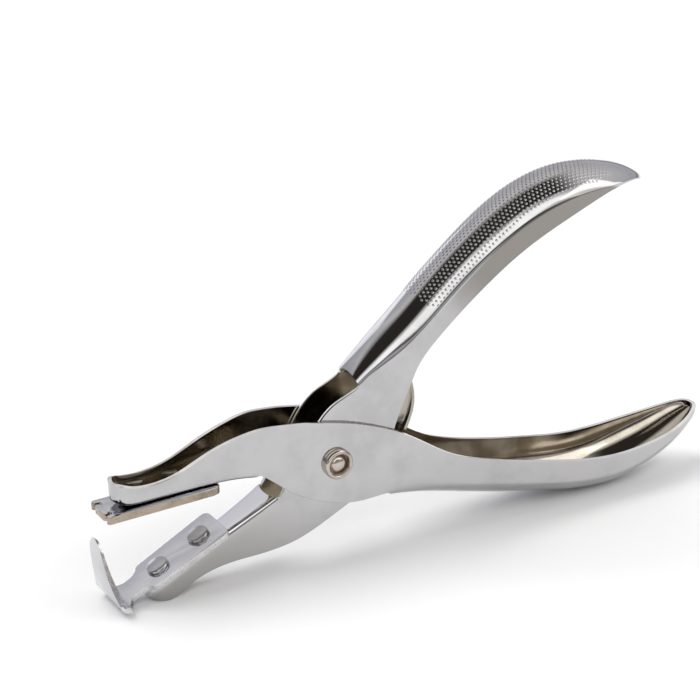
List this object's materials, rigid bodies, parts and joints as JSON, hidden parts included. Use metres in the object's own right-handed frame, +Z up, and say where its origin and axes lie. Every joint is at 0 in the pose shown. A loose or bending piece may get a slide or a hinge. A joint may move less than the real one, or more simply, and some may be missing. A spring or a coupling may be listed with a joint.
{
  "type": "staple remover",
  "caption": "Plier-type staple remover in chrome-plated pressed steel, standing open: two channel levers on a hollow rivet, an upper plate and a pointed tongue.",
  "frame": {"origin": "centre of the bounding box, on the surface the tool stands on", "axes": "+X to the handle ends, +Y across the tool, +Z up"},
  "size_m": [0.1715, 0.0186, 0.0878],
  "materials": {
    "sheet_steel": "bright chrome plate over pressed sheet steel",
    "plate_steel": "bright chrome plate, rough sheared edges",
    "rivet_steel": "bright plated rivets",
    "spring_steel": "plain spring strip"
  },
  "bodies": {
    "outer": {"outer_lever": "sheet_steel", "upper_plate": "plate_steel", "upper_rivet_front": "rivet_steel", "upper_rivet_rear": "rivet_steel", "pivot_pin": "rivet_steel", "pivot_sleeve": "rivet_steel", "pivot_ring_near": "rivet_steel", "pivot_ring_far": "rivet_steel", "return_spring": "spring_steel"},
    "inner": {"inner_lever": "sheet_steel", "tongue_plate": "plate_steel", "tongue_rivet_front": "rivet_steel", "tongue_rivet_rear": "rivet_steel"}
  },
  "joints": [
    {"name": "squeeze", "type": "hinge", "parent": "outer", "child": "inner", "pos_m": [-0.0255, 0, 0.0261], "axis": [0, 1, 0], "range_deg": [0, 15], "stiffness_Nm_per_rad": 1, "springref_deg": -11.46, "deforming": ["return_spring"]}
  ]
}
